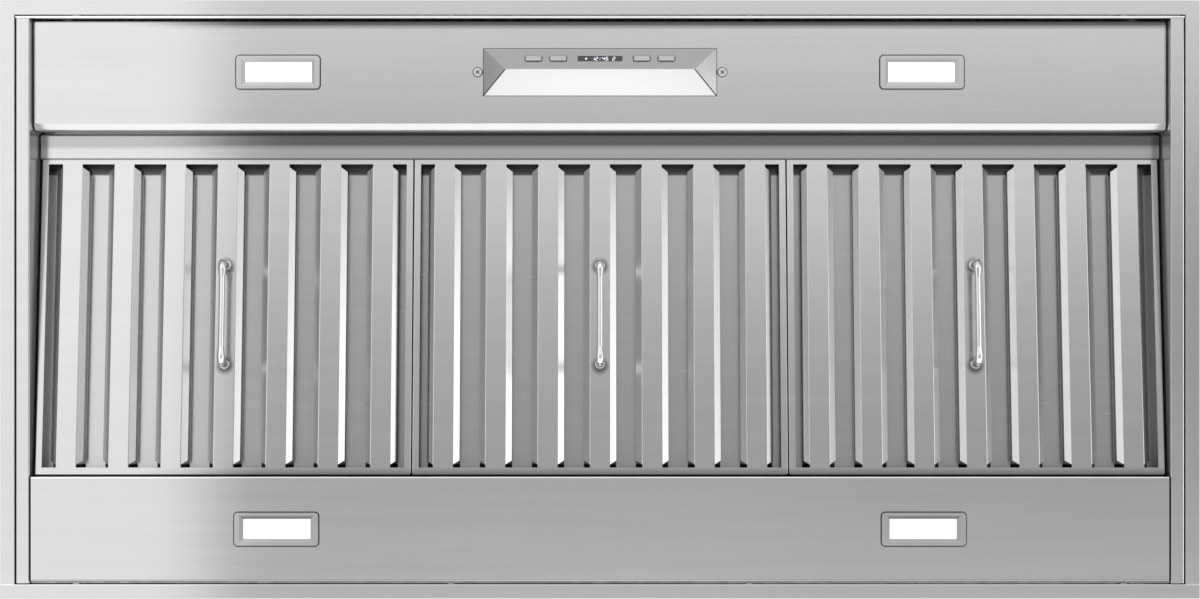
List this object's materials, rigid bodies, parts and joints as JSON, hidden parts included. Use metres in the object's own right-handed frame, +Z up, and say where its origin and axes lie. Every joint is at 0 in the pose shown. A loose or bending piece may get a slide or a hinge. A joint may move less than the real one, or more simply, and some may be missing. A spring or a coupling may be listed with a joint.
{
  "type": "range hood insert",
  "caption": "Wide stainless hood liner seen from below: recessed front panel with lamps and a push-button console, tilted baffle filters with bar handles, blower and round duct collar above.",
  "frame": {"origin": "centre of the seating plane, the upper face of the trim flange that bears on the underside of the cabinet", "axes": "+X to the user's right when facing the wall, +Y towards the wall, +Z up"},
  "size_m": [1.178, 0.587, 0.4086],
  "materials": {
    "brushed_steel": "brushed along X",
    "filter_steel": "brushed along the webs",
    "galvanised_steel": "galvanised",
    "spring_steel": "plain",
    "screw_steel": "bright",
    "chrome": "polished",
    "console_satin": "satin",
    "button_satin": "satin",
    "display_dark": "gloss",
    "board_green": "matte",
    "bezel_satin": "satin",
    "lens_diffuser": "opal",
    "motor_black": "painted"
  },
  "bodies": {
    "hood": {"blower_box": "galvanised_steel", "blower_motor": "motor_black", "console_housing": "console_satin", "console_screws": "screw_steel", "control_board": "board_green", "control_box": "galvanised_steel", "damper_rod": "spring_steel", "display_window": "display_dark", "duct_collar": "galvanised_steel", "duct_transition": "galvanised_steel", "filter_catches": "spring_steel", "filter_ledge": "brushed_steel", "front_bulkhead": "galvanised_steel", "front_panel": "brushed_steel", "front_wall": "brushed_steel", "inlet_rings": "galvanised_steel", "junction_box": "galvanised_steel", "junction_box_cover": "galvanised_steel", "lamp_front_left_bezel": "bezel_satin", "lamp_front_left_lens": "lens_diffuser", "lamp_front_right_bezel": "bezel_satin", "lamp_front_right_lens": "lens_diffuser", "lamp_housings": "galvanised_steel", "lamp_rear_left_bezel": "bezel_satin", "lamp_rear_left_lens": "lens_diffuser", "lamp_rear_right_bezel": "bezel_satin", "lamp_rear_right_lens": "lens_diffuser", "motor_bracket": "galvanised_steel", "rear_bulkhead": "galvanised_steel", "rear_panel": "brushed_steel", "rear_wall": "galvanised_steel", "scroll_housing": "galvanised_steel", "side_panel_left": "brushed_steel", "side_panel_right": "brushed_steel", "top_panel": "galvanised_steel", "trim_clips": "spring_steel", "trim_frame": "brushed_steel"},
    "filter_left": {"filter_left_face": "filter_steel", "filter_left_baffles": "filter_steel", "filter_left_back_frame": "filter_steel", "filter_left_handle": "chrome", "filter_left_handle_screws": "screw_steel"},
    "filter_centre": {"filter_centre_face": "filter_steel", "filter_centre_baffles": "filter_steel", "filter_centre_back_frame": "filter_steel", "filter_centre_handle": "chrome", "filter_centre_handle_screws": "screw_steel"},
    "filter_right": {"filter_right_face": "filter_steel", "filter_right_baffles": "filter_steel", "filter_right_back_frame": "filter_steel", "filter_right_handle": "chrome", "filter_right_handle_screws": "screw_steel"},
    "button_power": {"button_power": "button_satin"},
    "button_fan": {"button_fan": "button_satin"},
    "button_lamp": {"button_lamp": "button_satin"},
    "button_timer": {"button_timer": "button_satin"},
    "blower_wheel": {"blower_wheel": "galvanised_steel", "blower_shaft": "spring_steel"},
    "damper_flap_front": {"damper_flap_front": "galvanised_steel"},
    "damper_flap_rear": {"damper_flap_rear": "galvanised_steel"}
  },
  "joints": [
    {"name": "filter_left_hinge", "type": "hinge", "parent": "hood", "child": "filter_left", "pos_m": [-0.372, -0.1396, 0.0435], "axis": [-1, 0, 0], "range_deg": [0, 75]},
    {"name": "filter_centre_hinge", "type": "hinge", "parent": "hood", "child": "filter_centre", "pos_m": [0, -0.1396, 0.0435], "axis": [-1, 0, 0], "range_deg": [0, 75]},
    {"name": "filter_right_hinge", "type": "hinge", "parent": "hood", "child": "filter_right", "pos_m": [0.372, -0.1396, 0.0435], "axis": [-1, 0, 0], "range_deg": [0, 75]},
    {"name": "button_power_push", "type": "slide", "parent": "hood", "child": "button_power", "axis": [0, 0.5122, 0.8589], "range_m": [0, 0.0008], "stiffness_N_per_m": 1500},
    {"name": "button_fan_push", "type": "slide", "parent": "hood", "child": "button_fan", "axis": [0, 0.5122, 0.8589], "range_m": [0, 0.0008], "stiffness_N_per_m": 1500},
    {"name": "button_lamp_push", "type": "slide", "parent": "hood", "child": "button_lamp", "axis": [0, 0.5122, 0.8589], "range_m": [0, 0.0008], "stiffness_N_per_m": 1500},
    {"name": "button_timer_push", "type": "slide", "parent": "hood", "child": "button_timer", "axis": [0, 0.5122, 0.8589], "range_m": [0, 0.0008], "stiffness_N_per_m": 1500},
    {"name": "blower_wheel_spin", "type": "hinge", "parent": "hood", "child": "blower_wheel", "pos_m": [0, -0.01697, 0.2112], "axis": [1, 0, 0], "continuous": true},
    {"name": "damper_front_hinge", "type": "hinge", "parent": "hood", "child": "damper_flap_front", "pos_m": [0, 0.052, 0.361], "axis": [-1, 0, 0], "range_deg": [0, 75]},
    {"name": "damper_rear_hinge", "type": "hinge", "parent": "hood", "child": "damper_flap_rear", "pos_m": [0, 0.052, 0.361], "axis": [1, 0, 0], "range_deg": [0, 75]}
  ]
}
